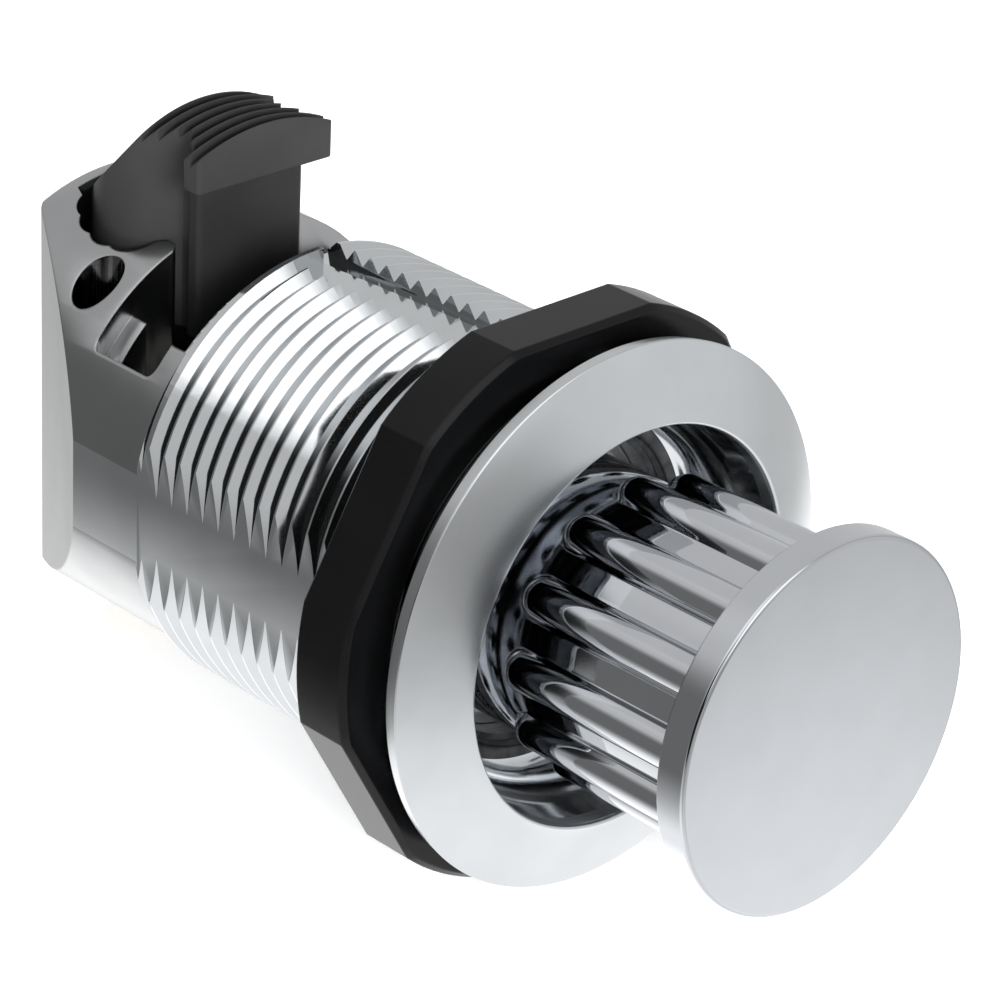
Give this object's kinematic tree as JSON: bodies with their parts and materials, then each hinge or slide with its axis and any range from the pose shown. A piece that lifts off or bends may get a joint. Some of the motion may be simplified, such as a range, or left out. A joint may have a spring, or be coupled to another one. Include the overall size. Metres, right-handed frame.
{
  "type": "push-to-close latch",
  "caption": "Push-to-close latch: fluted pop-out pull knob, trim ring, threaded barrel with panel nut, rear housing and a spring bolt with a saw-toothed crown that the knob retracts.",
  "frame": {"origin": "on the barrel's axis, in the plane of the trim ring's back face, which rests on the front of the panel", "axes": "-Y towards the knob (front), +Y into the furniture (rear), +Z the way the bolt points, +X right seen from the front"},
  "size_m": [0.0404, 0.0705, 0.0427],
  "materials": {
    "satin_casting": "satin nickel plate on a zinc casting",
    "polished": "polished",
    "black_nylon": "matte",
    "pale_acetal": "matte",
    "soft_rubber": "matte",
    "spring_steel": "drawn wire",
    "turned_steel": "turned",
    "plain_brass": "turned"
  },
  "bodies": {
    "case": {"body": "satin_casting", "trim_ring": "polished", "panel_nut": "black_nylon", "guide_bush": "pale_acetal", "stop_pad": "soft_rubber", "park_ring": "spring_steel", "bottom_plug": "plain_brass", "bolt_spring": "spring_steel"},
    "pull": {"pull_rod": "turned_steel", "rod_washer": "turned_steel", "rod_screw": "turned_steel", "fork": "turned_steel", "fork_screw": "turned_steel", "cross_pin": "turned_steel", "pin_clip_left": "spring_steel", "pin_clip_right": "spring_steel"},
    "knob": {"knob": "polished", "stem_collar": "turned_steel", "slide_ring": "pale_acetal", "knob_spring": "spring_steel"},
    "bolt": {"bolt": "black_nylon"}
  },
  "joints": [
    {"name": "pull_slide", "type": "slide", "parent": "case", "child": "pull", "axis": [0, -1, 0], "range_m": [0, 0.004], "stiffness_N_per_m": 300, "springref_m": -0.004},
    {"name": "bolt_slide", "type": "slide", "parent": "case", "child": "bolt", "axis": [0, 0, -1], "range_m": [0, 0.0083], "stiffness_N_per_m": 300, "springref_m": -0.004, "deforming": ["bolt_spring"]},
    {"name": "knob_push", "type": "slide", "parent": "pull", "child": "knob", "axis": [0, 1, 0], "range_m": [0, 0.01689], "stiffness_N_per_m": 200, "springref_m": -0.006, "deforming": ["knob_spring"]}
  ],
  "couplings": [
    {"joint": "bolt_slide", "follows": "pull_slide", "ratio": 2.075}
  ]
}
